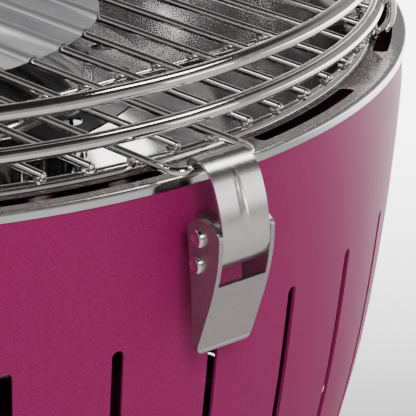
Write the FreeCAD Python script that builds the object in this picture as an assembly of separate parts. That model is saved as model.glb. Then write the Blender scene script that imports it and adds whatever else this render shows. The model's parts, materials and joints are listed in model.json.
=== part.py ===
import FreeCAD, Part
import math
import os

# Portable tabletop charcoal grill with a fan under the coals.
# Millimetres, +Z up. The origin is the centre of the feet's ground plane, the front latch is
# on the -Y side, the rear latch on the +Y side and the fan's control knob on the +X side.

V = FreeCAD.Vector
UP = V(0, 0, 1)

# Driving dimensions: the two bowls
RIM_R = 175.0          # outside of the inner bowl's skirt
RIM_Z = 204.0          # lower edge of that skirt
SKIRT_H = 3.0
SKIRT_ROUND = 1.2      # the flange's rolled outer edge
INNER_T = 0.8
OUTER_T = 1.0
OUTER_BASE_Z = 8.0
OUTER_LIP_R = 173.9
BASE_CORNER_R = 14.0

# Outer bowl radius at a depth below the rim, with depth in hundreds of millimetres:
# r = 174.7 - 8.6 s - 1.5 s^2 - 3.8 s^3
OUTER_CURVE = (174.7, -8.6, -1.5, -3.8)

WALL_DEPTHS = (12, 50, 85, 115, 145, 165, 185)
BASE_SLOPE = 0.6

# Upright air slots in the outer bowl
WALL_SLOTS = 32
WALL_SLOT_W = 3.7
WALL_SLOT_TOP = -46.0
WALL_SLOT_LOW = -146.0
WALL_SLOT_START = -87.6
SEAM_ANGLE = 8.0       # the turned wall's seam, between two slots

# Slots in the inner bowl's flat flange
FLANGE_SLOTS = 12
FLANGE_SLOT_R = (165.8, 170.5)
FLANGE_SLOT_ARC = 17.4
FLANGE_SLOT_START = -72.0
LEDGE_R = 164.6
LEDGE_IN_R = 158.0
LEDGE_Z = 1.1
COLLAR_R = 50.0
FLOOR_Z = -102.0
COLLAR_TOP = -92.0

# Inner bowl radius, as a step in from the ledge's inner edge, at heights below the rim
INNER_WALL = ((0, LEDGE_Z), (1, -10), (6, -35), (18, -62), (37, -84), (60, FLOOR_Z))

# Cooking grid, all of round stainless wire
RING_WIRE = 4.7
GRID_WIRE = 2.6
FOOT_RING = (162.2, 3.5)
LOWER_RAIL = (166.5, 15.6)
UPPER_RAIL = (165.7, 27.4)
WIRE_PITCH = 14.0
WIRES_EACH_SIDE = 11
WIRE_END_R = 164.6
WIRE_Z = FOOT_RING[1] + (RING_WIRE + GRID_WIRE) / 2
EAR_WIRE = 1           # the first wire each side of the middle is the ear wire
EAR_Y = 181.2
EAR_CORNER = 4.5
BAR_Y = 101.0
POST_WIRE = 3.0
POST_ANGLES = (-46, 46, 134, 226)

# Fat guard plate over the middle of the grid
PLATE_R = 77.0
PLATE_T = 0.6
TUNNEL_R = 2.0
TUNNEL_PITCH = WIRE_PITCH

# Charcoal basket, standing on the fuel tray's rim
TRAY_H = 9.0
BASKET_R = 72.0
BASKET_Z = (COLLAR_TOP + TRAY_H, -14.0)
BASKET_RIM_R = 92.0
BASKET_FLOOR_HOLES = ((20, 8), (36, 16), (52, 24))
BASKET_RIM_HOLES = 20
BASKET_RIM_HOLE_R = 4.0
BASKET_WALL_HOLES = 24
BASKET_WALL_HOLE_R = 3.0
BASKET_HOLE_ROWS = (14, 30, 46)
VENT_R = 2.5
LID_LIP = 3.0
LID_Z = (BASKET_Z[1], -3.0)
LID_HOLES = ((22, 10), (40, 18))
TRAY_HOLE_R = 29.2

# Toggle latch, drawn on the front at -Y in (y, z) with z from the skirt's lower edge
PIVOT_A = (-184.6, -11.7)
PIVOT_B = (-183.6, -19.7)
PIN_R = 1.5
RUNNING = 0.05
STRIP_T = 1.0
STRIP_W = 16.5
CLAW_GAP = 0.9
LEVER_W = 19.6
LEVER_T = 1.4
LEVER_WINDOW = -24.8
LEVER_TIP = -47.7
LEVER_TIP_ROUND = 3.0
PIN_HEAD_R = 2.65
PIN_HEAD_H = 1.5
LUG_W = 4.4
KNUCKLE_R = 3.0
KNUCKLE_W = 13.0
LUG_Z = (-21.0, -9.4)
LUG_RIVET_Z = (-12.6, -18.2)
LUG_RIVET_R = 1.2
LUG_RIVET_HEAD_R = 2.6

# Fan unit in the base
CELL_R = 7.1
CELL_L = 49.0
CELL_PITCH = 14.5
CASE_X = 31.5
CASE_Y = 29.0
CASE_Z = (9.0, 27.0)
CASE_T = 1.6
HOUSING_R = 46.0
HOUSING_Z = (28.0, 84.0)
HOUSING_T = 2.0
MOTOR_R = 12.0
MOTOR_Z = (30.0, 58.0)
SHAFT_R = 1.0
HUB_R = 9.0
FAN_R = 41.0
FAN_Z = (61.0, 75.0)
BLADES = 7
LEG_X = 46.0
LEG_Y = 26.0
LEG_R = 4.0
SCREW_R = 1.3
SCREW_HEAD_R = 3.0
DECK_HOLES = 8
DECK_HOLE_R = 6.0
GUARD_WIRE_R = 1.0
GUARD_RINGS = (14, 26, 38)
DOOR_X = 33.0
DOOR_Y = 33.0
DOOR_Z = (5.6, 7.2)
DOOR_TRAVEL = 30.0
DOOR_CORNER_R = 3.0
DOOR_RIBS_Y = (14, 18, 22, 26)
RAIL_X = 37.0
RAIL_RIVET_Y = 22.0
RAIL_RIVET_R = 1.25
FOOT_R = 11.0
FOOT_RING_R = 92.0
FOOT_STEM_R = 2.5
FOOT_ROUND = 1.5
KNOB_Z = 34.0
KNOB_R = 12.0
KNOB_L = 14.0
KNOB_ROUND = 1.5
KNOB_GROOVES = 16
KNOB_SHAFT_R = 2.0
BEZEL_R = 16.0
BEZEL_BORE_R = 3.5
BEZEL_ROUND = 1.5
BEZEL_X = (126.0, 143.0)


def at_rim(z):
    """Height above the ground of a height given from the skirt's lower edge."""
    return RIM_Z + z


def cylinder(radius, z_low, z_high, x=0.0, y=0.0):
    return Part.makeCylinder(radius, z_high - z_low, V(x, y, z_low), UP)


def tube(radius, wall, z_low, z_high, x=0.0, y=0.0):
    return cylinder(radius, z_low, z_high, x, y).cut(cylinder(radius - wall, z_low, z_high, x, y))


def box(x0, x1, y0, y1, z0, z1):
    return Part.makeBox(x1 - x0, y1 - y0, z1 - z0, V(x0, y0, z0))


def x_cylinder(radius, x_low, x_high, y, z):
    return Part.makeCylinder(radius, x_high - x_low, V(x_low, y, z), V(1, 0, 0))


def turned(shape, angle):
    """Copy of a shape turned about the vertical axis by an angle in degrees."""
    copy = shape.copy()
    copy.rotate(V(0, 0, 0), UP, angle)
    return copy


def polar(radius, angle, z=0.0):
    return V(radius * math.cos(math.radians(angle)), radius * math.sin(math.radians(angle)), z)


def lathe(points):
    """Solid of revolution about Z from straight runs through (r, z) points."""
    corners = [V(r, 0, z) for r, z in points]
    face = Part.Face(Part.makePolygon(corners + corners[:1]))
    return face.revolve(V(0, 0, 0), UP, 360)


def spline(points):
    curve = Part.BSplineCurve()
    curve.interpolate([V(*p) for p in points])
    return curve.toShape()


def lathe_wall(curve_points, bottom_z):
    """Solid inside a smooth wall curve of (r, z) points that ends on a flat bottom."""
    wall = spline([(r, 0, z) for r, z in curve_points])
    top_r, top_z = curve_points[0]
    low_r = curve_points[-1][0]
    rim = Part.makeLine(V(0, 0, top_z), V(top_r, 0, top_z))
    floor = Part.makeLine(V(low_r, 0, bottom_z), V(0, 0, bottom_z))
    axis = Part.makeLine(V(0, 0, bottom_z), V(0, 0, top_z))
    face = Part.Face(Part.Wire([rim, wall, floor, axis]))
    return face.revolve(V(0, 0, 0), UP, 360)


def round_rim_edges(solid, z, radius):
    """Fillet the circular edge of a turned solid that lies at height z."""
    edges = [e for e in solid.Edges if abs(e.BoundBox.ZMin - z) < 0.01 and abs(e.BoundBox.ZMax - z) < 0.01]
    return solid.makeFillet(radius, edges)


def rounded_end(solid, x, radius):
    """Fillet the round edge at the x end of a cylinder that lies along X."""
    edges = [e for e in solid.Edges if abs(e.BoundBox.XMin - x) < 0.01 and abs(e.BoundBox.XMax - x) < 0.01]
    return solid.makeFillet(radius, edges)


def bent_wire(path, wire_d):
    """Round wire swept along a path of edges."""
    start = path.Edges[0]
    first = start.firstVertex().Point
    direction = start.tangentAt(start.FirstParameter)
    section = Part.Wire(Part.makeCircle(wire_d / 2, first, direction))
    return Part.Wire(path.Edges).makePipeShell([section], True, False)


def straight_wire(start, end, wire_d):
    """Straight round wire with domed ends."""
    radius = wire_d / 2
    along = (end - start).normalize()
    rod = Part.makeCylinder(radius, (end - start).Length - wire_d, start + along * radius, along)
    for tip in (start + along * radius, end - along * radius):
        rod = rod.fuse(Part.makeSphere(radius, tip))
    return rod.removeSplitter()


def outer_radius(depth):
    s = depth / 100
    return sum(c * s ** n for n, c in enumerate(OUTER_CURVE))


def wall_point(depth, inset):
    """Point (x, 0, z) of the outer bowl's wall, moved in along the wall's normal by an inset."""
    slope = (outer_radius(depth + 1) - outer_radius(depth - 1)) / 2
    length = math.hypot(1, slope)
    return V(outer_radius(depth) - inset / length, 0, at_rim(-depth) - inset * slope / length)


def outer_form(inset):
    """Solid that fills the outer bowl to its outside, or to its inside with an inset."""
    bottom = OUTER_BASE_Z + inset
    lip = V(OUTER_LIP_R - inset, 0, at_rim(SKIRT_H - INNER_T))
    first, *rest = [wall_point(depth, inset) for depth in WALL_DEPTHS]
    edges = [Part.makeLine(V(0, 0, lip.z), lip), Part.makeLine(lip, first)]
    last = first
    for middle, end in zip(rest[::2], rest[1::2]):
        edges.append(Part.Arc(last, middle, end).toShape())
        last = end
    floor_edge = V(last.x - (last.z - bottom) * BASE_SLOPE, 0, bottom)
    edges += [Part.makeLine(last, floor_edge), Part.makeLine(floor_edge, V(0, 0, bottom)),
              Part.makeLine(V(0, 0, bottom), V(0, 0, lip.z))]
    form = Part.Face(Part.Wire(edges)).revolve(V(0, 0, 0), UP, 360)
    return turned(round_rim_edges(form, bottom, BASE_CORNER_R - inset), SEAM_ANGLE)


def radial_slot(angle, width, z_low, z_high, r_in, r_out):
    """Upright slot with round ends, cut outwards through a wall."""
    half = width / 2
    low = z_low + half
    high = z_high - half
    outline = [Part.makeLine(V(r_in, -half, high), V(r_in, -half, low)),
               Part.Arc(V(r_in, -half, low), V(r_in, 0, z_low), V(r_in, half, low)).toShape(),
               Part.makeLine(V(r_in, half, low), V(r_in, half, high)),
               Part.Arc(V(r_in, half, high), V(r_in, 0, z_high), V(r_in, -half, high)).toShape()]
    return turned(Part.Face(Part.Wire(outline)).extrude(V(r_out - r_in, 0, 0)), angle)


def outer_bowl():
    shell = outer_form(0).cut(outer_form(OUTER_T))
    slots = [radial_slot(WALL_SLOT_START + k * 360 / WALL_SLOTS, WALL_SLOT_W, at_rim(WALL_SLOT_LOW),
                         at_rim(WALL_SLOT_TOP), 100, 200) for k in range(WALL_SLOTS)]
    cuts = [x_cylinder(BEZEL_R + 0.2, 100, 160, 0, KNOB_Z)]
    cuts.append(box(-CASE_X + 3, CASE_X - 3, -CASE_Y + 3, CASE_Y - 3, 0, 12))
    cuts += [cylinder(SCREW_R + 0.4, 0, 12, x, y) for x, y in leg_places()]
    cuts += [cylinder(FOOT_STEM_R, 0, 12, x, y) for x, y in foot_places()]
    cuts += [cylinder(RAIL_RIVET_R, 0, 12, x, y) for x, y in rail_rivet_places()]
    cuts += lug_rivet_shanks(0) + lug_rivet_shanks(180)
    return shell.cut(Part.makeCompound(slots)).cut(cuts)


def flange_slot(angle):
    """Curved slot between two radii with rounded corners."""
    r_in, r_out = FLANGE_SLOT_R
    half = FLANGE_SLOT_ARC / 2
    low = at_rim(-2)
    ring = cylinder(r_out, low, low + 8).cut(cylinder(r_in, low, low + 8))
    wedge_points = [V(0, 0, low), polar(220, -half, low), polar(220, half, low), V(0, 0, low)]
    wedge = Part.Face(Part.makePolygon(wedge_points)).extrude(V(0, 0, 8))
    sector = ring.common(wedge)
    corners = [e for e in sector.Edges if e.BoundBox.ZLength > 7]
    return turned(sector.makeFillet(1.5, corners), angle)


def inner_bowl_form(inset):
    """Space enclosed by the inner bowl below its ledge."""
    bottom = at_rim(FLOOR_Z + inset)
    points = [(LEDGE_IN_R - inset - step, max(at_rim(z), bottom)) for step, z in INNER_WALL]
    return lathe_wall(points, bottom)


def inner_bowl():
    """Stainless bowl with a slotted flange, a ledge for the grid and a raised centre collar."""
    t = INNER_T
    flange = lathe([(RIM_R, at_rim(0)), (RIM_R, at_rim(SKIRT_H)), (LEDGE_R, at_rim(SKIRT_H)),
                    (LEDGE_R, at_rim(LEDGE_Z)), (LEDGE_IN_R - t, at_rim(LEDGE_Z)),
                    (LEDGE_IN_R - t, at_rim(LEDGE_Z - t)), (LEDGE_R + t, at_rim(LEDGE_Z - t)),
                    (LEDGE_R + t, at_rim(SKIRT_H - t)), (RIM_R - t, at_rim(SKIRT_H - t)),
                    (RIM_R - t, at_rim(0))])
    edges = [e for e in flange.Edges if e.BoundBox.ZLength < 0.01 and e.BoundBox.XMax > RIM_R - 0.01
             and e.BoundBox.ZMin > at_rim(SKIRT_H) - 0.01]
    flange = flange.makeFillet(SKIRT_ROUND, edges)
    flange = flange.cut([flange_slot(FLANGE_SLOT_START + k * 360 / FLANGE_SLOTS) for k in range(FLANGE_SLOTS)])
    wall = inner_bowl_form(0).cut(inner_bowl_form(t))
    wall = wall.cut(cylinder(LEDGE_IN_R - t, at_rim(LEDGE_Z - t), at_rim(LEDGE_Z + 1)))
    wall = wall.cut(cylinder(COLLAR_R - t, at_rim(FLOOR_Z - 1), at_rim(COLLAR_TOP)))
    collar = tube(COLLAR_R, t, at_rim(FLOOR_Z), at_rim(COLLAR_TOP))
    return flange.fuse([wall, collar]).removeSplitter()


def ring(radius, z, wire_d):
    return Part.makeTorus(radius, wire_d / 2, V(0, 0, at_rim(z)), UP)


def wire_length(x):
    return math.sqrt(WIRE_END_R ** 2 - x ** 2)


def cross_wires():
    wires = []
    for k in range(-WIRES_EACH_SIDE, WIRES_EACH_SIDE + 1):
        if abs(k) != EAR_WIRE:
            x = k * WIRE_PITCH
            y = wire_length(x)
            wires.append(straight_wire(V(x, -y, at_rim(WIRE_Z)), V(x, y, at_rim(WIRE_Z)), GRID_WIRE))
    return Part.makeCompound(wires)


def ear_wire():
    """Closed loop of wire whose two ends stand out past the rim as ears for the latches."""
    x = EAR_WIRE * WIRE_PITCH
    z = at_rim(WIRE_Z)
    c = EAR_CORNER
    diagonal = c * (1 - math.sqrt(0.5))
    edges = []
    for side in (1, -1):
        y = side * EAR_Y
        edges.append(Part.makeLine(V(side * x, -y + side * c, z), V(side * x, y - side * c, z)))
        edges.append(Part.Arc(V(side * x, y - side * c, z), V(side * (x - diagonal), y - side * diagonal, z),
                              V(side * (x - c), y, z)).toShape())
        edges.append(Part.makeLine(V(side * (x - c), y, z), V(-side * (x - c), y, z)))
        edges.append(Part.Arc(V(-side * (x - c), y, z), V(-side * (x - diagonal), y - side * diagonal, z),
                              V(-side * x, y - side * c, z)).toShape())
    return bent_wire(Part.Wire(edges), GRID_WIRE)


def support_bars():
    """Two straight wires under the cross wires, butted against the inside of the foot ring."""
    foot = ring(*FOOT_RING, RING_WIRE)
    z = at_rim(WIRE_Z - GRID_WIRE)
    bars = []
    for y in (-BAR_Y, BAR_Y):
        x = math.sqrt(FOOT_RING[0] ** 2 - y ** 2)
        bar = Part.makeCylinder(GRID_WIRE / 2, 2 * x, V(-x, y, z), V(1, 0, 0)).cut(foot)
        bars.append(max(bar.Solids, key=lambda s: s.Volume))
    return Part.makeCompound(bars)


def rail_post(angle):
    """Bowed wire outside the rings, welded to the rails at the top and the foot ring below."""
    bow = (POST_WIRE + RING_WIRE) / 2
    top = (UPPER_RAIL[0] + bow, UPPER_RAIL[1] - 2)
    middle = (LOWER_RAIL[0] + bow, LOWER_RAIL[1])
    bulge = (FOOT_RING[0] + 7.6, 8.6)
    low = (FOOT_RING[0] + bow, FOOT_RING[1] + 1.0)
    path = spline([(r, 0, at_rim(z)) for r, z in (top, middle, bulge, low)])
    post = bent_wire(Part.Wire(path), POST_WIRE)
    for ring_place in (UPPER_RAIL, LOWER_RAIL, FOOT_RING):
        post = post.cut(ring(*ring_place, RING_WIRE))
    return turned(max(post.Solids, key=lambda s: s.Volume), angle)


def plate_section():
    """Cross section in (x, z) of the fat guard: flat runs with a raised tunnel over each wire."""
    top = WIRE_Z + GRID_WIRE / 2 + 0.2 + PLATE_T
    flat = WIRE_Z + 0.2
    outer = TUNNEL_R + PLATE_T
    edges = []
    for lift, radius in ((PLATE_T, outer), (0.0, TUNNEL_R)):
        run = []
        x_last = -PLATE_R - 2
        z = at_rim(flat + lift)
        crown = at_rim(top - PLATE_T + lift)
        for k in range(-5, 6):
            x = k * TUNNEL_PITCH
            run.append(Part.makeLine(V(x_last, 0, z), V(x - radius, 0, z)))
            run.append(Part.Arc(V(x - radius, 0, z), V(x, 0, crown), V(x + radius, 0, z)).toShape())
            x_last = x + radius
        run.append(Part.makeLine(V(x_last, 0, z), V(PLATE_R + 2, 0, z)))
        edges.append(run)
    upper, lower = edges
    z_up = at_rim(flat + PLATE_T)
    z_low = at_rim(flat)
    ends = [Part.makeLine(V(side * (PLATE_R + 2), 0, z_low), V(side * (PLATE_R + 2), 0, z_up)) for side in (-1, 1)]
    wire = Part.Wire(Part.__sortEdges__(upper + lower + ends))
    return Part.Face(wire)


def fat_guard():
    section = plate_section()
    section.translate(V(0, -PLATE_R - 2, 0))
    sheet = section.extrude(V(0, 2 * PLATE_R + 4, 0))
    return sheet.common(cylinder(PLATE_R, at_rim(0), at_rim(20)))


def hole_ring(count, ring_r, hole_r, z_low, z_high):
    return [cylinder(hole_r, z_low, z_high, *polar(ring_r, k * 360 / count)[:2]) for k in range(count)]


def coal_basket():
    """Perforated round coal basket with a turned out rim."""
    t = INNER_T
    low, high = (at_rim(z) for z in BASKET_Z)
    wall = tube(BASKET_R, t, low, high)
    floor = cylinder(BASKET_R, low, low + t)
    rim = tube(BASKET_RIM_R, BASKET_RIM_R - BASKET_R + t, high - t, high)
    cuts = []
    for ring_r, count in BASKET_FLOOR_HOLES:
        cuts += hole_ring(count, ring_r, VENT_R, low - 1, low + 2)
    cuts += hole_ring(BASKET_RIM_HOLES, (BASKET_R + BASKET_RIM_R) / 2, BASKET_RIM_HOLE_R, high - 2, high + 1)
    for row, height in enumerate(BASKET_HOLE_ROWS):
        hole = x_cylinder(BASKET_WALL_HOLE_R, BASKET_R - t - 2, BASKET_R + t + 2, 0, low + height)
        for k in range(BASKET_WALL_HOLES):
            cuts.append(turned(hole, (k + row / 2) * 360 / BASKET_WALL_HOLES))
    return wall.fuse([floor, rim]).removeSplitter().cut(cuts)


def coal_basket_lid():
    """Domed perforated lid that keeps the coals in the basket."""
    low, high = (at_rim(z) for z in LID_Z)
    edge = BASKET_R + LID_LIP
    lid = lathe([(0, high), (30, high - 0.6), (edge - 8, low + 3), (edge, low), (edge, low + INNER_T),
                 (edge - 8, low + 3 + INNER_T), (30, high + 0.2), (0, high + INNER_T)])
    cuts = []
    for ring_r, count in LID_HOLES:
        cuts += hole_ring(count, ring_r, VENT_R, low - 1, high + 3)
    return lid.cut(cuts)


def fuel_tray():
    """Shallow ring dish on the bowl's collar that holds the lighting paste around the air throat."""
    top = at_rim(COLLAR_TOP)
    t = INNER_T
    r_out = COLLAR_R + 3
    return lathe([(r_out, top), (r_out, top + TRAY_H), (r_out - t, top + TRAY_H), (r_out - t, top + t),
                  (TRAY_HOLE_R + t, top + t), (TRAY_HOLE_R + t, top + 6), (TRAY_HOLE_R, top + 6),
                  (TRAY_HOLE_R, top)])


def mirrored_place(x, y):
    return [(i * x, j * y) for i in (-1, 1) for j in (-1, 1)]


def leg_places():
    return mirrored_place(LEG_X, LEG_Y)


def foot_places():
    return [tuple(polar(FOOT_RING_R, 45 + 90 * k))[:2] for k in range(4)]


def rail_rivet_places():
    return mirrored_place(RAIL_X, RAIL_RIVET_Y)


def battery_case():
    """Battery box, open at the bottom over the hole in the base."""
    z0, z1 = CASE_Z
    t = CASE_T
    case = box(-CASE_X, CASE_X, -CASE_Y, CASE_Y, z0, z1)
    return case.cut(box(-CASE_X + t, CASE_X - t, -CASE_Y + t, CASE_Y - t, z0 - 1, z1 - t))


def cell(x, y_low):
    """Dry cell with its small positive button."""
    z = CASE_Z[0] + 1.0 + CELL_R
    body = Part.makeCylinder(CELL_R, CELL_L, V(x, y_low, z), V(0, 1, 0))
    button = Part.makeCylinder(2.6, 1.2, V(x, y_low + CELL_L, z), V(0, 1, 0))
    return body.fuse(button)


def batteries():
    return Part.makeCompound([cell((k - 1.5) * CELL_PITCH, -CELL_L / 2 - 0.6) for k in range(4)])


def battery_contacts():
    """Nickel strips at both ends of the row of cells."""
    wall = CASE_Y - CASE_T
    z0 = CASE_Z[0] + 3
    strips = []
    for y0, y1 in ((wall - 0.5, wall), (-wall, 0.5 - wall)):
        for k in (-1, 1):
            x = k * CELL_PITCH
            strips.append(box(x - 12, x + 12, y0, y1, z0, z0 + 10))
    return Part.makeCompound(strips)


def battery_door():
    """Flat door that slides along the rails, with finger ribs near one end."""
    z0, z1 = DOOR_Z
    door = box(-DOOR_X, DOOR_X, -DOOR_Y, DOOR_Y, z0, z1)
    door = door.makeFillet(DOOR_CORNER_R, [e for e in door.Edges if e.BoundBox.ZLength > 1])
    ribs = [box(-12, 12, y, y + 1.6, z0 - 1.0, z0) for y in DOOR_RIBS_Y]
    return door.fuse(ribs).removeSplitter()


def door_rails():
    """Two channels under the base that carry the battery door."""
    rails = []
    y1 = DOOR_Y + DOOR_TRAVEL + 2
    for side in (-1, 1):
        xs = sorted((side * (DOOR_X + 0.5), side * (RAIL_X + 4)))
        web = box(*xs, -DOOR_Y, y1, 4.0, OUTER_BASE_Z)
        lips = sorted((side * (DOOR_X - 3), side * (DOOR_X + 0.5)))
        lip = box(*lips, -DOOR_Y, y1, 4.0, DOOR_Z[0] - 0.3)
        rail = web.fuse(lip).removeSplitter()
        rails.append(rail.cut([cylinder(RAIL_RIVET_R, 4, 12, x, y) for x, y in rail_rivet_places()]))
    return Part.makeCompound(rails)


def rail_rivets():
    rivets = []
    for x, y in rail_rivet_places():
        rivets.append(cylinder(RAIL_RIVET_R, 4.0, 9.0, x, y).fuse(cylinder(2.4, 9.0, 10.0, x, y)))
    return Part.makeCompound(rivets)


def fan_housing():
    """Round duct on four legs around the motor and the impeller."""
    z0, z1 = HOUSING_Z
    duct = tube(HOUSING_R, HOUSING_T, z0, z1)
    deck = cylinder(LEG_X + 12, z0, z0 + 2).cut(hole_ring(DECK_HOLES, 32, DECK_HOLE_R, z0 - 1, z0 + 3))
    legs = [cylinder(LEG_R, OUTER_BASE_Z + OUTER_T, z0, x, y) for x, y in leg_places()]
    bores = [cylinder(SCREW_R, 0, z0 - 4, x, y) for x, y in leg_places()]
    return duct.fuse([deck] + legs).removeSplitter().cut(bores)


def housing_screws():
    """Pan head screws up through the base into the housing's legs."""
    screws = []
    for x, y in leg_places():
        head = cylinder(SCREW_HEAD_R, 6.0, OUTER_BASE_Z, x, y)
        screws.append(cylinder(SCREW_R, OUTER_BASE_Z, 20, x, y).fuse(head))
    return Part.makeCompound(screws)


def finger_guard():
    """Concentric wire guard over the duct."""
    z = HOUSING_Z[1] + GUARD_WIRE_R
    rings = [Part.makeTorus(r, GUARD_WIRE_R, V(0, 0, z), UP) for r in GUARD_RINGS]
    rim = tube(HOUSING_R, 4, HOUSING_Z[1], HOUSING_Z[1] + 2.4)
    spokes = []
    for k in range(3):
        spoke = Part.makeCylinder(GUARD_WIRE_R + 0.1, 2 * HOUSING_R - 4, V(2 - HOUSING_R, 0, z), V(1, 0, 0))
        spokes.append(turned(spoke, k * 60 + 7))
    guard = rim
    for wire in rings + spokes:
        guard = guard.fuse(wire)
    return guard


def motor():
    z0, z1 = MOTOR_Z
    body = cylinder(MOTOR_R, z0, z1).fuse(cylinder(4, z1, z1 + 1.5))
    return body.fuse(cylinder(SHAFT_R, z1 + 1.5, FAN_Z[1] - 2)).removeSplitter()


def fan_impeller():
    """Axial impeller: a hub with pitched blades, turning on the motor shaft."""
    z0, z1 = FAN_Z
    hub = cylinder(HUB_R, z0, z1)
    blades = []
    for k in range(BLADES):
        blade = box(HUB_R - 1, FAN_R, -0.7, 0.7, -8, 8)
        blade.rotate(V(0, 0, 0), V(1, 0, 0), 55)
        blade.translate(V(0, 0, (z0 + z1) / 2))
        blades.append(turned(blade, k * 360 / BLADES))
    bore = cylinder(SHAFT_R + RUNNING, z0 - 1, z1 - 1.8)
    return hub.fuse(blades).removeSplitter().cut(bore)


def knob_bezel():
    """Round boss in the side of the bowl that carries the fan control."""
    x0, x1 = BEZEL_X
    boss = rounded_end(x_cylinder(BEZEL_R, x0, x1, 0, KNOB_Z), x1, BEZEL_ROUND)
    return boss.cut(x_cylinder(BEZEL_BORE_R, x0 - 1, x1 + 1, 0, KNOB_Z))


def fan_control():
    """Rotary switch behind the bezel, with its shaft bushing."""
    x0 = BEZEL_X[0]
    body = box(x0 - 12, x0, -9, 9, KNOB_Z - 9, KNOB_Z + 9)
    bush = x_cylinder(BEZEL_BORE_R - RUNNING, x0, BEZEL_X[1] - 0.5, 0, KNOB_Z)
    bore = x_cylinder(KNOB_SHAFT_R + RUNNING, x0 - 6, 160, 0, KNOB_Z)
    return body.fuse(bush).removeSplitter().cut(bore)


def control_knob():
    """Ribbed knob on its own shaft."""
    x0 = BEZEL_X[1] + 0.5
    knob = rounded_end(x_cylinder(KNOB_R, x0, x0 + KNOB_L, 0, KNOB_Z), x0 + KNOB_L, KNOB_ROUND)
    grooves = []
    for k in range(KNOB_GROOVES):
        angle = math.radians(k * 360 / KNOB_GROOVES)
        y = (KNOB_R + 0.6) * math.cos(angle)
        z = KNOB_Z + (KNOB_R + 0.6) * math.sin(angle)
        grooves.append(x_cylinder(1.4, x0 + 2, x0 + KNOB_L + 1, y, z))
    pointer = box(x0 + KNOB_L - 0.8, x0 + KNOB_L + 1, -0.8, 0.8, KNOB_Z + 3, KNOB_Z + KNOB_R - 1.5)
    shaft = x_cylinder(KNOB_SHAFT_R, BEZEL_X[0] - 5, x0, 0, KNOB_Z)
    return knob.cut(grooves).cut(pointer).fuse(shaft).removeSplitter()


def rubber_feet():
    """Four feet pressed into holes in the base."""
    feet = []
    for x, y in foot_places():
        foot = round_rim_edges(cylinder(FOOT_R, 0, OUTER_BASE_Z, x, y), 0, FOOT_ROUND)
        stem = cylinder(FOOT_STEM_R, OUTER_BASE_Z, 9.0, x, y)
        barb = cylinder(4.0, 9.0, 11.5, x, y)
        feet.append(foot.fuse([stem, barb]).removeSplitter())
    return Part.makeCompound(feet)


# Toggle latch


def strip_path():
    """Middle line of the hook strip in (y, z), as runs of (turn in degrees, radius or length)."""
    claw_r = GRID_WIRE / 2 + CLAW_GAP + STRIP_T / 2
    eye_r = PIN_R + RUNNING + STRIP_T / 2
    crown_top = WIRE_Z + claw_r
    front_runs = [(66.0, 8.66), (21.5, 43.2), (2.5, 12.0)]
    y, z = -EAR_Y, crown_top
    heading = 180.0
    for turn, radius in front_runs:
        y, z, heading = after_turn(y, z, heading, turn, radius)
    first_r = 10.0
    first_turn = 30.0
    y_mid = y + first_r * (1 - math.cos(math.radians(first_turn)))
    second_turn = 90.0 - first_turn
    second_r = (PIVOT_B[0] - y_mid) / math.sin(math.radians(second_turn))
    drop = first_r * math.sin(math.radians(first_turn)) + second_r * (1 - math.cos(math.radians(second_turn)))
    straight = z - drop - (PIVOT_B[1] - eye_r)
    runs = [(110.0, claw_r)] + front_runs + [(0.0, straight), (first_turn, first_r), (second_turn, second_r),
                                             (235.0, eye_r)]
    return runs, claw_r


def after_turn(y, z, heading, turn, radius):
    """End of an arc that turns left from a point and heading."""
    start = math.radians(heading - 90)
    end = math.radians(heading + turn - 90)
    y += radius * (math.cos(end) - math.cos(start))
    z += radius * (math.sin(end) - math.sin(start))
    return y, z, heading + turn


def strip_edges(runs, start, heading, offset):
    """Edges of the strip's outline on one side of its middle line."""
    y, z = start
    edges = []
    points = []
    for turn, size in runs:
        side = math.radians(heading - 90)
        p0 = V(0, y + offset * math.cos(side), at_rim(z + offset * math.sin(side)))
        if turn == 0:
            along = math.radians(heading)
            y += size * math.cos(along)
            z += size * math.sin(along)
            p1 = V(0, y + offset * math.cos(side), at_rim(z + offset * math.sin(side)))
            edges.append(Part.makeLine(p0, p1))
        else:
            centre_y = y - size * math.cos(side)
            centre_z = z - size * math.sin(side)
            r = size + offset
            mid = side + math.radians(turn / 2)
            y, z, heading = after_turn(y, z, heading, turn, size)
            end = side + math.radians(turn)
            p_mid = V(0, centre_y + r * math.cos(mid), at_rim(centre_z + r * math.sin(mid)))
            p1 = V(0, centre_y + r * math.cos(end), at_rim(centre_z + r * math.sin(end)))
            edges.append(Part.Arc(p0, p_mid, p1).toShape())
        points.append((p0, p1))
    return edges, points[0][0], points[-1][1]


def hook_strip():
    """Bent strip with a claw over the ear at the top and a rolled eye at the bottom."""
    runs, claw_r = strip_path()
    start_angle = math.radians(-20.0)
    start = (-EAR_Y + claw_r * math.cos(start_angle), WIRE_Z + claw_r * math.sin(start_angle))
    outer, outer_start, outer_end = strip_edges(runs, start, 70.0, STRIP_T / 2)
    inner, inner_start, inner_end = strip_edges(runs, start, 70.0, -STRIP_T / 2)
    caps = [Part.makeLine(outer_start, inner_start), Part.makeLine(outer_end, inner_end)]
    face = Part.Face(Part.Wire(Part.__sortEdges__(outer + inner + caps)))
    face.translate(V(-STRIP_W / 2, 0, 0))
    return face.extrude(V(STRIP_W, 0, 0))


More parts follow.
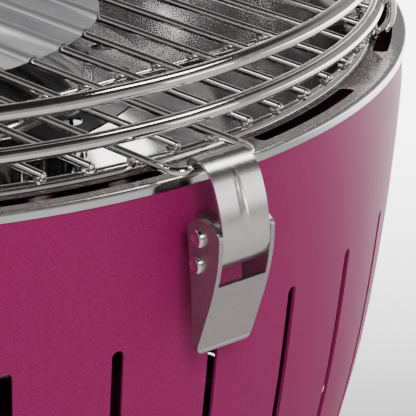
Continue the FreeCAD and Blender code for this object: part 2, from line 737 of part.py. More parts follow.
def lever_outline():
    """Side view of the lever in (y, z) as a closed face."""
    def p(y, z):
        return V(0, y, at_rim(z))
    front = [(0, y, at_rim(z)) for y, z in ((-193.5, -11.0), (-191.8, -22.0), (-187.6, -34.0), (-182.5, -46.1))]
    edges = [Part.Arc(p(-179.6, -9.6), p(-184.8, -6.0), p(-191.8, -8.0)).toShape(),
             Part.Arc(p(-191.8, -8.0), p(-193.2, -9.2), p(-193.5, -11.0)).toShape(),
             spline(front),
             Part.Arc(p(-182.5, -46.1), p(-181.9, -47.6), p(-180.6, -47.0)).toShape(),
             Part.makeLine(p(-180.6, -47.0), p(-180.6, -28.0)),
             Part.makeLine(p(-180.6, -28.0), p(-179.6, -9.6))]
    return Part.Face(Part.Wire(edges))


def lever():
    """Stamped channel lever, open at the top and back, with a window the hook passes through."""
    half = LEVER_W / 2
    face = lever_outline()
    face.translate(V(-half, 0, 0))
    blank = face.extrude(V(LEVER_W, 0, 0))
    front = box(-half, half, -200, -170, at_rim(LEVER_TIP), at_rim(0))
    corners = [e for e in front.Edges if e.BoundBox.YLength > 20 and e.BoundBox.ZMax < at_rim(LEVER_TIP) + 1]
    blank = blank.common(front.makeFillet(LEVER_TIP_ROUND, corners))
    face = lever_outline()
    face.translate(V(-half + LEVER_T, LEVER_T, LEVER_T))
    hollow = face.extrude(V(LEVER_W - 2 * LEVER_T, 0, 0))
    deeper = hollow.copy()
    deeper.translate(V(0, 5, 1))
    window = box(-half + LEVER_T, half - LEVER_T, -200, -180, at_rim(LEVER_WINDOW), at_rim(0))
    bores = [x_cylinder(PIN_R, -half - 1, half + 1, y, at_rim(z)) for y, z in (PIVOT_A, PIVOT_B)]
    return blank.cut([hollow, deeper, window] + bores)


def latch_pin(pivot):
    """Rivet pin through both cheeks of the lever, with low domed heads."""
    y, z = pivot
    half = LEVER_W / 2
    pin = x_cylinder(PIN_R, -half, half, y, at_rim(z))
    dome_r = (PIN_HEAD_R ** 2 + PIN_HEAD_H ** 2) / (2 * PIN_HEAD_H)
    heads = []
    for side in (-1, 1):
        ball = Part.makeSphere(dome_r, V(side * (half + PIN_HEAD_H - dome_r), y, at_rim(z)))
        span = sorted((side * half, side * (half + 3)))
        heads.append(ball.common(box(*span, y - 4, y + 4, at_rim(z) - 4, at_rim(z) + 4)))
    return pin.fuse(heads).removeSplitter()


def lug_rivet_shanks(angle):
    """Shanks of the two rivets that hold a latch lug to the bowl."""
    return [turned(Part.makeCylinder(LUG_RIVET_R, 8, V(0, -170.6, at_rim(z)), V(0, -1, 0)), angle)
            for z in LUG_RIVET_Z]


def latch_lug():
    """Narrow lug riveted to the bowl, with a wide knuckle around the lever's pivot."""
    y, z = PIVOT_A
    low, high = LUG_Z
    stem = box(-LUG_W / 2, LUG_W / 2, y, -165, at_rim(low), at_rim(high))
    stem = stem.cut(box(-LUG_W, LUG_W, y - 4, -176.5, at_rim(low - 1), at_rim(z - 3.2)))
    knuckle = x_cylinder(KNUCKLE_R, -KNUCKLE_W / 2, KNUCKLE_W / 2, y, at_rim(z))
    lug = stem.fuse(knuckle).removeSplitter().cut(outer_form(0))
    return lug.cut([x_cylinder(PIN_R + RUNNING, -12, 12, y, at_rim(z))] + lug_rivet_shanks(0))


def lug_rivets():
    """Rivets from inside the bowl into the lug."""
    inside = outer_form(OUTER_T)
    rivets = []
    for shank, z in zip(lug_rivet_shanks(0), LUG_RIVET_Z):
        head = Part.makeCylinder(LUG_RIVET_HEAD_R, 4, V(0, -174.5, at_rim(z)), V(0, 1, 0)).common(inside)
        rivets.append(shank.fuse(head).removeSplitter())
    return Part.makeCompound(rivets)


LATCH_PIECES = {
    "latch_lug": latch_lug,
    "lug_rivets": lug_rivets,
    "lever": lever,
    "lever_pin": lambda: latch_pin(PIVOT_A),
    "hook_strip": hook_strip,
    "hook_pin": lambda: latch_pin(PIVOT_B),
}


def all_nodes():
    nodes = {
        "outer_bowl": outer_bowl(),
        "inner_bowl": inner_bowl(),
        "grid_foot_ring": ring(*FOOT_RING, RING_WIRE),
        "grid_lower_rail": ring(*LOWER_RAIL, RING_WIRE),
        "grid_upper_rail": ring(*UPPER_RAIL, RING_WIRE),
        "grid_rail_posts": Part.makeCompound([rail_post(a) for a in POST_ANGLES]),
        "grid_cross_wires": cross_wires(),
        "grid_ear_wire": ear_wire(),
        "grid_support_bars": support_bars(),
        "fat_guard": fat_guard(),
        "coal_basket": coal_basket(),
        "coal_basket_lid": coal_basket_lid(),
        "fuel_tray": fuel_tray(),
        "fan_housing": fan_housing(),
        "housing_screws": housing_screws(),
        "finger_guard": finger_guard(),
        "motor": motor(),
        "fan_impeller": fan_impeller(),
        "battery_case": battery_case(),
        "batteries": batteries(),
        "battery_contacts": battery_contacts(),
        "battery_door": battery_door(),
        "door_rails": door_rails(),
        "rail_rivets": rail_rivets(),
        "knob_bezel": knob_bezel(),
        "fan_control": fan_control(),
        "control_knob": control_knob(),
        "rubber_feet": rubber_feet(),
    }
    for name, make in LATCH_PIECES.items():
        piece = make()
        nodes["front_" + name] = piece
        nodes["rear_" + name] = turned(piece, 180)
    return nodes


os.makedirs("parts", exist_ok=True)
for node, shape in all_nodes().items():
    shape.exportStep("parts/" + node + ".step")
    print(node, "solids", len(shape.Solids), "volume", round(shape.Volume), "valid", shape.isValid())
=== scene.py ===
import json
import math
import bpy
import bmesh
from mathutils import Matrix, Vector


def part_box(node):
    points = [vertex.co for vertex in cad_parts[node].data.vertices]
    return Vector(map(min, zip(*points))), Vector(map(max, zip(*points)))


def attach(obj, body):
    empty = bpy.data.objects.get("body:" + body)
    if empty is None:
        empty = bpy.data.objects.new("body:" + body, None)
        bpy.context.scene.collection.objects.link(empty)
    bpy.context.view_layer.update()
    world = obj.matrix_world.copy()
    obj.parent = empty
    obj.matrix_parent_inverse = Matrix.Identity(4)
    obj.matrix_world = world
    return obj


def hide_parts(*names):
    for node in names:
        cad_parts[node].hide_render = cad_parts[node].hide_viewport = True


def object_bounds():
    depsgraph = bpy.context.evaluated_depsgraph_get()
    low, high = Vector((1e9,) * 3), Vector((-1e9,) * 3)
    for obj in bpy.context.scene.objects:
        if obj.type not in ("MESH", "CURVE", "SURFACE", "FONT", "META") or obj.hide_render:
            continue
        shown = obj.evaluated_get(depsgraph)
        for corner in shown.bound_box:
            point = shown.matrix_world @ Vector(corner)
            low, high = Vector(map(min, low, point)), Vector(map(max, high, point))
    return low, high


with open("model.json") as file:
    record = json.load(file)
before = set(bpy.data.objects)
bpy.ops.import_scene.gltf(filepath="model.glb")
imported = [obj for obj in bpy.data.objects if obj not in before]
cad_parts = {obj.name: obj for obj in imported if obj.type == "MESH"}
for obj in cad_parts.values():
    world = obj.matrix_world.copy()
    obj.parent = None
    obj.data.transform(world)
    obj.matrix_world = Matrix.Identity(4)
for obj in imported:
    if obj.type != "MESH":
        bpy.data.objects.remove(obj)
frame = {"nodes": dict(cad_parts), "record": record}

cad_low, cad_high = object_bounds()
MM = 0.001

RIM_Z = 204 * MM          # lower edge of the inner bowl's skirt
LEDGE_R = 164.6 * MM      # inner edge of the slotted flange
WIRE_PITCH = 14 * MM
EAR_CORNER = 4.5 * MM     # bend of the ear wire's middle line
POST_ANGLES = (-46, 46, 134, 226)     # the rail posts, in degrees round the bowl

# Latch, in its closed place at the front
EAR_Y = 181.2 * MM                    # ear wire under the claw
EAR_Z = RIM_Z + 7.15 * MM
HOOK_PIN = (-183.6 * MM, RIM_Z - 19.7 * MM)     # (y, z)
STRIP_T = 1.0 * MM
CLAW_R = 2.7 * MM                     # middle line of the claw
EYE_R = 2.05 * MM                     # middle line of the rolled eye
CLAW_TIP = -20                        # where the claw's tip stands round the ear wire, in degrees
# Turn in degrees and radius of each bend: claw, shoulder, long bowed flank, foot of the flank
STRIP_BENDS = ((110, CLAW_R), (66, 8.66 * MM), (21.5, 43.2 * MM), (2.5, 12 * MM))
LEAD_TURN, LEAD_R = 30, 10 * MM       # first of the two bends that lead into the eye
WRAP_TURN = 60                        # second of them, as wide as the room left
EYE_TURN = 235
BEAD_TOP = RIM_Z + 7.5 * MM
BEAD_FOOT = RIM_Z - 6.5 * MM
BEAD_HEIGHT = 0.6 * MM
BEAD_CLEAR = 3 * MM                   # the bead is only on the strip's outer side, past the ear wire
SHANK_R = 1.5 * MM                    # rivet pins
HEAD_T = 1.5 * MM

# Weld metal: half sizes of each kind of bead
RING_WELD = (1.75 * MM, 2.1 * MM, 0.95 * MM)
BAR_WELD = (1.6 * MM, 1.7 * MM, 0.8 * MM)
POST_WELD = (1.5 * MM, 1.5 * MM, 1.9 * MM)

# Stage, in metres and degrees
FLOOR_HALF = 6.0
GLOW_DIRECTION = (0.625, 0.781, 0.0)  # over the floor, away from the front latch
GLOW_START, GLOW_END = 0.02, 0.60     # metres along it where the light starts and is full
GLOW_STRENGTH = 6.0
CAMERA_PLACE = (-0.4457, -0.7334, 0.4724)
CAMERA_BEARING = 38.68                # to the right of the wires' direction
CAMERA_TILT = -21.16
CAMERA_ROLL = 1.29
CAMERA_LENS = 240.0                   # mm, on a 36 mm wide sensor

SMOOTH_ANGLE = math.radians(38)
SOFT_EDGE_ANGLE = 30      # edges sharper than this are softened, in degrees
RING_STEPS = 240
WIRE_SIDES = 20
STRIP_COLUMNS = 56
STRAIGHT_STEPS = 8


# ---------------------------------------------------------------- materials

def hex_colour(code):
    """Linear RGBA of an sRGB hex value."""
    channels = [int(code[i:i + 2], 16) / 255 for i in (0, 2, 4)]
    linear = [c / 12.92 if c <= 0.04045 else ((c + 0.055) / 1.055) ** 2.4 for c in channels]
    return linear + [1.0]


def add(tree, kind, inputs=None, **settings):
    """Adds a node with its settings. An input is a value or the (node, output) that feeds it."""
    item = tree.nodes.new(kind)
    for name, value in settings.items():
        setattr(item, name, value)
    for name, value in (inputs or {}).items():
        if isinstance(value, tuple) and isinstance(value[0], bpy.types.Node):
            tree.links.new(value[0].outputs[value[1]], item.inputs[name])
        else:
            item.inputs[name].default_value = value
    return item


def new_material(name):
    material = bpy.data.materials.new(name)
    material.use_nodes = True
    tree = material.node_tree
    tree.nodes.clear()
    return material, tree


def finish_material(tree, shader):
    add(tree, "ShaderNodeOutputMaterial", {"Surface": (shader, "BSDF")})


def noise_on_object(tree, scale, stretch=(1, 1, 1), detail=2.0):
    """Noise on Object coordinates. scale is in cycles a metre, stretch multiplies each axis."""
    place = add(tree, "ShaderNodeTexCoord")
    mapping = add(tree, "ShaderNodeMapping", {"Vector": (place, "Object"), "Scale": stretch})
    return add(tree, "ShaderNodeTexNoise",
               {"Vector": (mapping, "Vector"), "Scale": scale, "Detail": detail})


def ramp(tree, source, stops):
    """Colour ramp from a (node, output), with stops of (position, RGBA)."""
    item = add(tree, "ShaderNodeValToRGB", {"Fac": source})
    first, last = item.color_ramp.elements
    first.position, first.color = stops[0]
    last.position, last.color = stops[-1]
    for position, colour in stops[1:-1]:
        item.color_ramp.elements.new(position).color = colour
    return item


def grey(value):
    return [value, value, value, 1.0]


def powder_coated_steel():
    """Powder coat baked on steel: deep pink satin, with fine grain and a faint orange peel."""
    material, tree = new_material("powder coated steel")
    grain = noise_on_object(tree, 1 / (0.45 * MM), detail=3.0)
    colour = ramp(tree, (grain, "Fac"),
                  [(0.3, hex_colour("80104D")), (0.5, hex_colour("8A1755")),
                   (0.7, hex_colour("942160"))])
    gloss = ramp(tree, (grain, "Fac"), [(0.3, grey(0.44)), (0.7, grey(0.58))])
    peel = noise_on_object(tree, 1 / (0.9 * MM), detail=2.0)
    bump = add(tree, "ShaderNodeBump",
               {"Height": (peel, "Fac"), "Strength": 0.3, "Distance": 0.05 * MM})
    shader = add(tree, "ShaderNodeBsdfPrincipled",
                 {"Base Color": (colour, "Color"), "Roughness": (gloss, "Color"),
                  "Normal": (bump, "Normal"), "Specular IOR Level": 0.16})
    finish_material(tree, shader)
    return material


def metal(name, light, dark, rough, grain_mm, stretch, bump_strength, bump_mm=0.02, detail=3.0):
    """Bare metal whose tone, roughness and surface follow one fine grain."""
    material, tree = new_material(name)
    grain = noise_on_object(tree, 1 / (grain_mm * MM), stretch, detail)
    colour = ramp(tree, (grain, "Fac"), [(0.3, hex_colour(dark)), (0.7, hex_colour(light))])
    gloss = ramp(tree, (grain, "Fac"), [(0.3, grey(rough[0])), (0.7, grey(rough[1]))])
    bump = add(tree, "ShaderNodeBump",
               {"Height": (grain, "Fac"), "Strength": bump_strength, "Distance": bump_mm * MM})
    shader = add(tree, "ShaderNodeBsdfPrincipled",
                 {"Base Color": (colour, "Color"), "Roughness": (gloss, "Color"), "Metallic": 1.0,
                  "Normal": (bump, "Normal")})
    finish_material(tree, shader)
    return material


def moulded(name, light, dark, rough, grain_mm, bump_strength=0.3):
    """Moulded plastic or rubber with a spark-eroded grain."""
    material, tree = new_material(name)
    grain = noise_on_object(tree, 1 / (grain_mm * MM), detail=4.0)
    colour = ramp(tree, (grain, "Fac"), [(0.3, hex_colour(dark)), (0.7, hex_colour(light))])
    gloss = ramp(tree, (grain, "Fac"), [(0.3, grey(rough[0])), (0.7, grey(rough[1]))])
    bump = add(tree, "ShaderNodeBump",
               {"Height": (grain, "Fac"), "Strength": bump_strength, "Distance": 0.05 * MM})
    shader = add(tree, "ShaderNodeBsdfPrincipled",
                 {"Base Color": (colour, "Color"), "Roughness": (gloss, "Color"),
                  "Normal": (bump, "Normal")})
    finish_material(tree, shader)
    return material


POWDER_COAT = powder_coated_steel()
# Deep drawn stainless sheet, left bright: long, nearly sharp reflections down inside the bowl.
DRAWN_STAINLESS = metal("drawn stainless sheet", "C4C2C3", "BCBABB", (0.10, 0.13), 14.0, (1, 1, 0.3),
                        0.004, detail=1.0)
# The pressed flange of the same sheet, gone over with a fine pad: a blurred mid grey.
SATIN_FLANGE = metal("satin pressed flange", "C4BCBC", "BAB2B2", (0.24, 0.28), 1.5, (1, 1, 1),
                     0.02)
# Electropolished stainless wire: crisp white streaks beside black bands.
POLISHED_WIRE = metal("electropolished stainless wire", "DAD7D5", "CFCCCA", (0.06, 0.10), 2.0,
                      (1, 1, 1), 0.05)
# Weld metal left by spot welding: dull, lumpy and slightly straw coloured.
WELD_METAL = metal("spot weld metal", "B4B1AC", "86837E", (0.22, 0.4), 0.8, (1, 1, 1), 0.5, 0.08)
# Satin stainless strip: fine lines along its length and one broad soft highlight at its bend.
SATIN_STRIP = metal("satin stainless strip", "CDC9C8", "C2BEBD", (0.22, 0.27), 0.35,
                    (1, 0.08, 0.08), 0.06)
# Stainless sheet tumbled after stamping: an even, blurred grey.
TUMBLED_SHEET = metal("tumbled satin stainless", "B3ABAC", "A39B9D", (0.30, 0.38), 0.5, (1, 1, 1), 0.08)
# Rolled plate of the fat guard: blurred, with faint rolling stripes along the wires.
ROLLED_PLATE = metal("rolled satin plate", "DCDCDE", "D6D6D8", (0.40, 0.46), 3.0, (1, 0.02, 1), 0.01)
# Tumble polished rivet heads: near mirrors.
POLISHED_RIVET = metal("polished rivet steel", "DEDBDA", "D2CFCE", (0.05, 0.09), 1.0, (1, 1, 1), 0.03)
# Bright zinc plating on the fixings and contacts, with a slight cloudy bloom.
ZINC_STEEL = metal("zinc plated steel", "B9BCC2", "9EA2A8", (0.25, 0.38), 1.2, (1, 1, 1), 0.15)
# Nylon mouldings with a spark eroded grain: soft black or grey with a wide sheen.
BLACK_PLASTIC = moulded("moulded black nylon", "1E1E20", "141416", (0.45, 0.6), 0.6)
GREY_PLASTIC = moulded("moulded grey nylon", "55565A", "47484C", (0.45, 0.6), 0.6)
# Rubber of the feet: matt black with a dusty grain.
BLACK_RUBBER = moulded("moulded rubber", "1A1A1A", "101010", (0.7, 0.85), 0.8, 0.5)
# Shrunk film around the dry cells: smooth and glossy blue.
CELL_SLEEVE = moulded("shrink sleeve film", "1D4C70", "17405F", (0.22, 0.3), 2.0, 0.05)

SLOT_MATERIALS = {
    "powder_coat": POWDER_COAT,
    "bright_stainless": DRAWN_STAINLESS,
    "polished_wire": POLISHED_WIRE,
    "brushed_stainless": SATIN_STRIP,
    "satin_stainless": TUMBLED_SHEET,
    "polished_rivet": POLISHED_RIVET,
    "black_plastic": BLACK_PLASTIC,
    "grey_plastic": GREY_PLASTIC,
    "black_rubber": BLACK_RUBBER,
    "zinc_steel": ZINC_STEEL,
    "cell_sleeve": CELL_SLEEVE,
}
OWN_MATERIALS = {"fat_guard": ROLLED_PLATE}

node_slots = {part["node"]: part["material_slot"] for part in frame["record"]["subparts"]}


def dress(obj, material):
    """Gives a piece one material."""
    obj.data.materials.clear()
    obj.data.materials.append(material)


for node_name, obj in frame["nodes"].items():
    dress(obj, OWN_MATERIALS.get(node_name, SLOT_MATERIALS[node_slots[node_name]]))


# ---------------------------------------------------------------- pieces

def body_of(node):
    """The moving body that holds a node."""
    bodies = frame["record"]["behaviour"]["bodies"]
    return next(body for body, members in bodies.items() if node in members)


def soft_edges(obj, width_mm, segments, angle, harden):
    """Rounds a piece's edges that are sharper than an angle in degrees."""
    bevel = obj.modifiers.new("soft edges", "BEVEL")
    bevel.width = width_mm * MM
    bevel.segments = segments
    bevel.limit_method = "ANGLE"
    bevel.angle_limit = math.radians(angle)
    bevel.harden_normals = harden


def finish_piece(name, mesh, body, material, stands_for):
    """Makes an object of a bmesh, shades it smooth and hands it to its body."""
    data = bpy.data.meshes.new(name)
    mesh.to_mesh(data)
    mesh.free()
    for face in data.polygons:
        face.use_smooth = True
    data.set_sharp_from_angle(angle=SMOOTH_ANGLE)
    obj = bpy.data.objects.new(name, data)
    bpy.context.scene.collection.objects.link(obj)
    dress(obj, material)
    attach(obj, body)
    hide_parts(*stands_for)
    return obj


def wire_ring(node):
    """Closed ring of round wire, as large as its node."""
    low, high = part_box(node)
    wire_r = (high.z - low.z) / 2
    place = (Matrix.Translation((high.x - wire_r, 0, low.z + wire_r))
             @ Matrix.Rotation(math.pi / 2, 4, "X"))
    mesh = bmesh.new()
    bmesh.ops.create_circle(mesh, segments=WIRE_SIDES, radius=wire_r, matrix=place)
    bmesh.ops.spin(mesh, geom=mesh.verts[:] + mesh.edges[:], cent=(0, 0, 0), axis=(0, 0, 1),
                   angle=2 * math.pi, steps=RING_STEPS, use_merge=True)
    bmesh.ops.recalc_face_normals(mesh, faces=mesh.faces)
    return mesh


def domed_rod(mesh, start, end, radius):
    """Straight round rod with domed ends, added to a mesh."""
    along = end - start
    turn = along.to_track_quat("Z", "Y").to_matrix().to_4x4()
    place = Matrix.Translation((start + end) / 2) @ turn
    made = bmesh.ops.create_cone(mesh, cap_ends=True, segments=WIRE_SIDES, radius1=radius,
                                 radius2=radius, depth=along.length, matrix=place)
    rims = {e for v in made["verts"] for e in v.link_edges if len(e.link_faces) == 2
            and any(len(f.verts) > 4 for f in e.link_faces)}
    bmesh.ops.bevel(mesh, geom=list(rims), offset=radius * 0.9, segments=5, profile=0.5,
                    affect="EDGES", material=-1)


def cross_wires():
    """The parallel wires of the grid, evenly spaced, with the ear wire's two places left out."""
    low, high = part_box("grid_cross_wires")
    wire_r = (high.z - low.z) / 2
    z = low.z + wire_r
    half_count = round((high.x - wire_r) / WIRE_PITCH)
    mesh = bmesh.new()
    for k in range(-half_count, half_count + 1):
        if abs(k) != 1:
            x = k * WIRE_PITCH
            y = math.sqrt(high.y ** 2 - x ** 2)
            domed_rod(mesh, Vector((x, -y, z)), Vector((x, y, z)), wire_r)
    return mesh


def ear_wire():
    """Long closed loop of wire with tight corners at the two ears."""
    low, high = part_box("grid_ear_wire")
    wire_r = (high.z - low.z) / 2
    x, y, z = high.x - wire_r, high.y - wire_r, low.z + wire_r
    mesh = bmesh.new()
    place = Matrix.Translation((x, EAR_CORNER - y, z)) @ Matrix.Rotation(math.pi / 2, 4, "X")
    made = bmesh.ops.create_circle(mesh, segments=WIRE_SIDES, radius=wire_r, matrix=place)
    end = made["verts"]
    heading = Vector((0, 1, 0))
    for run in (2 * (y - EAR_CORNER), 2 * (x - EAR_CORNER)) * 2:
        edges = [e for e in mesh.edges if e.verts[0] in end and e.verts[1] in end]
        made = bmesh.ops.extrude_edge_only(mesh, edges=edges)
        end = [v for v in made["geom"] if isinstance(v, bmesh.types.BMVert)]
        bmesh.ops.translate(mesh, verts=end, vec=heading * run)
        left = Vector((-heading.y, heading.x, 0))
        middle = sum((v.co for v in end), Vector()) / len(end)
        ring_edges = [e for e in mesh.edges if e.verts[0] in end and e.verts[1] in end]
        made = bmesh.ops.spin(mesh, geom=end + ring_edges, cent=middle + left * EAR_CORNER,
                              axis=(0, 0, 1), angle=math.pi / 2, steps=8, use_merge=False)
        end = [v for v in made["geom_last"] if isinstance(v, bmesh.types.BMVert)]
        heading = left
    bmesh.ops.remove_doubles(mesh, verts=mesh.verts, dist=0.01 * MM)
    bmesh.ops.recalc_face_normals(mesh, faces=mesh.faces)
    return mesh


def support_bars():
    """The two bars that lie across the wires."""
    low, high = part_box("grid_support_bars")
    wire_r = (high.z - low.z) / 2
    mesh = bmesh.new()
    for y in (low.y + wire_r, high.y - wire_r):
        z = low.z + wire_r
        domed_rod(mesh, Vector((low.x, y, z)), Vector((high.x, y, z)), wire_r)
    return mesh


def grid_piece(name, mesh):
    finish_piece(name, mesh, "grill", POLISHED_WIRE, ["grid_" + name])


for ring in ("upper_rail", "lower_rail", "foot_ring"):
    grid_piece(ring, wire_ring("grid_" + ring))
grid_piece("cross_wires", cross_wires())
grid_piece("ear_wire", ear_wire())
grid_piece("support_bars", support_bars())


def refined(node, bevel_mm, segments=3):
    """Merged, smooth shaded copy of a node, with its sharp edges softened."""
    mesh = bmesh.new()
    mesh.from_mesh(frame["nodes"][node].data)
    bmesh.ops.remove_doubles(mesh, verts=mesh.verts, dist=0.002 * MM)
    if bevel_mm:
        bmesh.ops.dissolve_limit(mesh, angle_limit=math.radians(2), verts=mesh.verts,
                                 edges=mesh.edges)
    slot = node_slots[node]
    material = OWN_MATERIALS.get(node, SLOT_MATERIALS[slot])
    obj = finish_piece(node + "_piece", mesh, body_of(node), material, [node])
    if bevel_mm:
        soft_edges(obj, bevel_mm, segments, SOFT_EDGE_ANGLE, harden=True)


# Softened edges in mm for each carried-over shape; 0 keeps its modelled edges.
EDGE_BREAKS = {
    "outer_bowl": 0, "inner_bowl": 0, "fat_guard": 0, "grid_rail_posts": 0, "coal_basket": 0,
    "coal_basket_lid": 0, "fuel_tray": 0, "fan_housing": 0.4, "housing_screws": 0.3, "finger_guard": 0,
    "motor": 0.4, "fan_impeller": 0.2, "battery_case": 0.5, "batteries": 0.5, "battery_contacts": 0.1,
    "battery_door": 0.3, "door_rails": 0.5, "rail_rivets": 0.2, "knob_bezel": 0, "fan_control": 0.3,
    "control_knob": 0.25, "rubber_feet": 0,
    "latch_lug": 0.4, "lug_rivets": 0.2, "lever": 0.7,
}
for node, edge_break in EDGE_BREAKS.items():
    if node in frame["nodes"]:
        refined(node, edge_break)
    else:
        for end in ("front_", "rear_"):
            refined(end + node, edge_break, segments=4)

bowl = bpy.data.objects["inner_bowl_piece"]
bowl.data.materials.append(SATIN_FLANGE)
for face in bowl.data.polygons:
    if face.center.xy.length > LEDGE_R and face.normal.z > 0.5:
        face.material_index = 1


# ---------------------------------------------------------------- latch strips and rivet pins

def strip_line():
    """Middle line of the strip as (y, z, heading in degrees), from claw tip to rolled eye."""
    y = CLAW_R * math.cos(math.radians(CLAW_TIP)) - EAR_Y
    z = EAR_Z + CLAW_R * math.sin(math.radians(CLAW_TIP))
    heading = 90.0 + CLAW_TIP
    line = [(y, z, heading)]

    def arc(turn, radius):
        nonlocal y, z, heading
        steps = math.ceil(turn / 4)
        for _ in range(steps):
            before = math.radians(heading - 90)
            heading += turn / steps
            after = math.radians(heading - 90)
            y += radius * (math.cos(after) - math.cos(before))
            z += radius * (math.sin(after) - math.sin(before))
            line.append((y, z, heading))

    for turn, radius in STRIP_BENDS:
        arc(turn, radius)
    lead, wrap = math.radians(LEAD_TURN), math.radians(WRAP_TURN)
    wrap_r = (HOOK_PIN[0] - y - LEAD_R * (1 - math.cos(lead))) / math.sin(wrap)
    drop = LEAD_R * math.sin(lead) + wrap_r * (1 - math.cos(wrap))
    straight = z - drop - (HOOK_PIN[1] - EYE_R)
    for _ in range(STRAIGHT_STEPS):
        z -= straight / STRAIGHT_STEPS
        line.append((y, z, heading))
    arc(LEAD_TURN, LEAD_R)
    arc(WRAP_TURN, wrap_r)
    arc(EYE_TURN, EYE_R)
    return line


def bead_lift(x, z):
    """Height of the pressed stiffening bead, a teardrop that is pointed at its top."""
    along = (BEAD_TOP - z) / (BEAD_TOP - BEAD_FOOT)
    if not 0 < along < 1:
        return 0.0
    half_width = (0.6 + 1.2 * along) * MM
    across = max(0.0, 1 - (x / half_width) ** 2)
    ends = min(1.0, along * 2.2) * min(1.0, (1 - along) * 7)
    return BEAD_HEIGHT * across ** 1.5 * ends


def hook_strip(node, turn):
    """Bent sheet strip with its bead, as wide as its node."""
    _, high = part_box(node)
    line = strip_line()
    last_row = len(line) - 1
    mesh = bmesh.new()
    bmesh.ops.create_grid(mesh, x_segments=STRIP_COLUMNS, y_segments=last_row, size=1.0)
    for vert in mesh.verts:
        row = round((vert.co.y + 1) / 2 * last_row)
        y, z, heading = line[row]
        side = math.radians(heading - 90)
        x = vert.co.x * high.x
        lift = STRIP_T / 2 + (bead_lift(x, z) if y < -EAR_Y - BEAD_CLEAR else 0.0)
        vert.co = (x, y + lift * math.cos(side), z + lift * math.sin(side))
    bmesh.ops.recalc_face_normals(mesh, faces=mesh.faces)
    outward = [f for f in mesh.faces if f.calc_center_median().z > high.z - 1 * MM]
    if outward[0].normal.z < 0:
        bmesh.ops.reverse_faces(mesh, faces=mesh.faces)
    bmesh.ops.solidify(mesh, geom=mesh.faces[:], thickness=STRIP_T)
    bmesh.ops.recalc_face_normals(mesh, faces=mesh.faces)
    bmesh.ops.rotate(mesh, verts=mesh.verts, cent=(0, 0, 0),
                     matrix=Matrix.Rotation(turn, 3, "Z"))
    return mesh


def rivet_pin(node):
    """Plain shank between two pressed heads with rolled rims and slightly dished middles."""
    low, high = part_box(node)
    centre = (low + high) / 2
    head_r = (high.z - low.z) / 2
    face_x = high.x - HEAD_T
    shank = [(SHANK_R, -face_x), (SHANK_R, 0)]
    # Share of the head's radius, and mm out from its seat
    head = [(1, 0), (1, 0.45), (0.95, 0.85), (0.84, 1.15), (0.7, 1.27), (0.58, 1.22), (0.4, 1.12),
            (0, 1.08)]
    outline = shank + [(share * head_r, out * MM) for share, out in head]
    mesh = bmesh.new()
    profile = [mesh.verts.new((face_x + x, 0, r)) for r, x in outline]
    edges = [mesh.edges.new(pair) for pair in zip(profile, profile[1:])]
    bmesh.ops.spin(mesh, geom=profile + edges, cent=(0, 0, 0), axis=(1, 0, 0), angle=2 * math.pi,
                   steps=40, use_merge=True)
    bmesh.ops.mirror(mesh, geom=mesh.verts[:] + mesh.edges[:] + mesh.faces[:], axis="X",
                     merge_dist=0.01 * MM)
    bmesh.ops.remove_doubles(mesh, verts=mesh.verts, dist=0.005 * MM)
    bmesh.ops.recalc_face_normals(mesh, faces=mesh.faces)
    bmesh.ops.translate(mesh, verts=mesh.verts, vec=(0, centre.y, centre.z))
    return mesh


for end, turn in (("front", 0.0), ("rear", math.pi)):
    node = end + "_hook_strip"
    strip = finish_piece(node + "_piece", hook_strip(node, turn), end + "_hook",
                         SATIN_STRIP, [node])
    soft_edges(strip, 0.25, segments=3, angle=50, harden=False)
    for node in (end + "_lever_pin", end + "_hook_pin"):
        finish_piece(node + "_piece", rivet_pin(node), body_of(node),
                     POLISHED_RIVET, [node])


# ---------------------------------------------------------------- welds of the grid

def uneven(k):
    """Repeatable number from -1 to 1 for the k-th bead."""
    return math.sin(12.9898 * k + 4.1) * math.cos(3.7 * k)


def weld_bead(mesh, place, size, k):
    """Lumpy little bead of weld metal, with its half sizes."""
    made = bmesh.ops.create_icosphere(mesh, subdivisions=2, radius=1.0)
    for n, vert in enumerate(made["verts"]):
        swell = 1 + 0.14 * uneven(k * 7 + n) + 0.1 * math.sin(3 * vert.co.x + k)
        vert.co = Vector(place) + Vector([c * s * swell for c, s in zip(vert.co, size)])


def weld_beads():
    """Beads where the wires cross the foot ring and the support bars."""
    low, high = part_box("grid_foot_ring")
    ring_wire_r = (high.z - low.z) / 2
    ring_r = high.x - ring_wire_r
    wire_low, wire_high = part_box("grid_cross_wires")
    wire_r = (wire_high.z - wire_low.z) / 2
    _, bar_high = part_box("grid_support_bars")
    half_count = round((wire_high.x - wire_r) / WIRE_PITCH)
    mesh = bmesh.new()
    k = 0
    for wire in range(-half_count, half_count + 1):
        x = wire * WIRE_PITCH
        y = math.sqrt(ring_r ** 2 - x ** 2)
        for side in (-1, 1):
            k += 1
            grow = 1 + 0.2 * uneven(k)
            wide, long, deep = RING_WELD
            weld_bead(mesh, (x, side * y, wire_low.z + 0.1 * MM), (wide * grow, long * grow, deep), k)
            if abs(x) < bar_high.x:
                k += 1
                grow = 1 + 0.2 * uneven(k)
                bar_y = side * (bar_high.y - wire_r)
                wide, long, deep = BAR_WELD
                weld_bead(mesh, (x, bar_y, wire_low.z), (wide * grow, long * grow, deep), k)
    return mesh


def joint_beads():
    """Beads where the rail posts meet the lower rail and the foot ring."""
    mesh = bmesh.new()
    k = 300               # carries on past the beads of the cross wires
    for node, lift in (("grid_lower_rail", 0.0), ("grid_foot_ring", 1.2 * MM)):
        low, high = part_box(node)
        wire_r = (high.z - low.z) / 2
        for angle in POST_ANGLES:
            k += 1
            r = high.x + 0.2 * MM
            across = math.radians(angle)
            place = (r * math.cos(across), r * math.sin(across), low.z + wire_r + lift)
            weld_bead(mesh, place, POST_WELD, k)
    return mesh


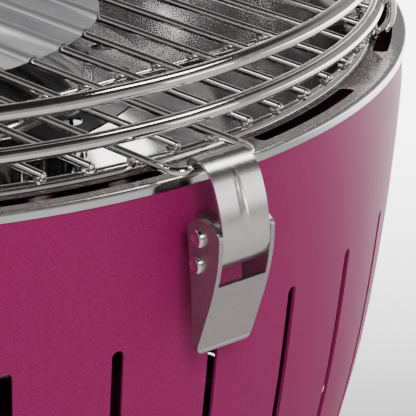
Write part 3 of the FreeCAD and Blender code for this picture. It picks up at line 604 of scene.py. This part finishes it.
finish_piece("wire_welds", weld_beads(), "grill", WELD_METAL, [])
finish_piece("post_welds", joint_beads(), "grill", WELD_METAL, [])


# ---------------------------------------------------------------- floor, light and camera

def studio_floor():
    """Plain pale floor, lit up from below behind the grill as a light table is."""
    mesh = bmesh.new()
    bmesh.ops.create_grid(mesh, x_segments=1, y_segments=1, size=FLOOR_HALF)
    data = bpy.data.meshes.new("floor")
    mesh.to_mesh(data)
    mesh.free()
    floor = bpy.data.objects.new("floor", data)
    bpy.context.scene.collection.objects.link(floor)
    material, tree = new_material("white paper floor")
    fibre = noise_on_object(tree, 40.0)
    tone = ramp(tree, (fibre, "Fac"), [(0.3, hex_colour("F7F7F7")), (0.7, hex_colour("FCFCFC"))])
    place = add(tree, "ShaderNodeTexCoord")
    depth = add(tree, "ShaderNodeVectorMath", {0: (place, "Object"), 1: GLOW_DIRECTION},
                operation="DOT_PRODUCT")
    glow = add(tree, "ShaderNodeMapRange",
               {"Value": (depth, "Value"), "From Min": GLOW_START, "From Max": GLOW_END,
                "To Min": 0.0, "To Max": GLOW_STRENGTH}, interpolation_type="SMOOTHSTEP")
    shader = add(tree, "ShaderNodeBsdfPrincipled",
                 {"Base Color": (tone, "Color"), "Roughness": 0.9, "Emission Color": grey(1.0),
                  "Emission Strength": (glow, "Result")})
    finish_material(tree, shader)
    dress(floor, material)


def softbox(name, place, target, size, power):
    """Rectangular area light at a place, aimed at a target."""
    light = bpy.data.lights.new(name, "AREA")
    light.shape = "RECTANGLE"
    light.size, light.size_y = size
    light.energy = power
    obj = bpy.data.objects.new(name, light)
    obj.location = place
    obj.rotation_euler = (Vector(target) - Vector(place)).to_track_quat("-Z", "Y").to_euler()
    bpy.context.scene.collection.objects.link(obj)


def studio_world():
    """Dim studio: a grey horizon under a dark ceiling, so that bright metal keeps dark bands."""
    world = bpy.data.worlds.new("studio")
    world.use_nodes = True
    tree = world.node_tree
    place = add(tree, "ShaderNodeTexCoord")
    parts = add(tree, "ShaderNodeSeparateXYZ", {"Vector": (place, "Generated")})
    height = ramp(tree, (parts, "Z"), [(0.0, grey(0.46)), (0.40, grey(0.42)), (0.6, grey(0.06)),
                                       (1.0, grey(0.02))])
    back = tree.nodes["Background"]
    tree.links.new(height.outputs["Color"], back.inputs["Color"])
    bpy.context.scene.world = world


def studio_camera():
    """Long lens close to the front latch, turned 39 degrees to the right of the wires' direction."""
    camera = bpy.data.objects.new("camera", bpy.data.cameras.new("camera"))
    camera.data.sensor_width = 36.0
    camera.data.lens = CAMERA_LENS
    camera.data.clip_start = 0.05
    bearing = math.radians(CAMERA_BEARING)
    tilt = math.radians(CAMERA_TILT)
    aim = Vector((math.sin(bearing) * math.cos(tilt), math.cos(bearing) * math.cos(tilt),
                  math.sin(tilt)))
    roll = Matrix.Rotation(math.radians(CAMERA_ROLL), 4, aim)
    camera.matrix_world = (Matrix.Translation(CAMERA_PLACE) @ roll
                           @ aim.to_track_quat("-Z", "Y").to_matrix().to_4x4())
    bpy.context.scene.collection.objects.link(camera)
    bpy.context.scene.camera = camera


studio_floor()
studio_world()
centre = (cad_low + cad_high) / 2
softbox("key", (-0.75, -1.75, 1.35), centre, (0.6, 0.8), 30)
softbox("right_panel", (0.85, -1.15, 0.40), centre, (0.42, 0.40), 1.6)
softbox("high_right", (0.95, -0.35, 1.7), centre, (0.5, 0.5), 9)
softbox("back_left", (-1.3, 1.2, 1.9), centre, (0.8, 0.5), 12)
studio_camera()
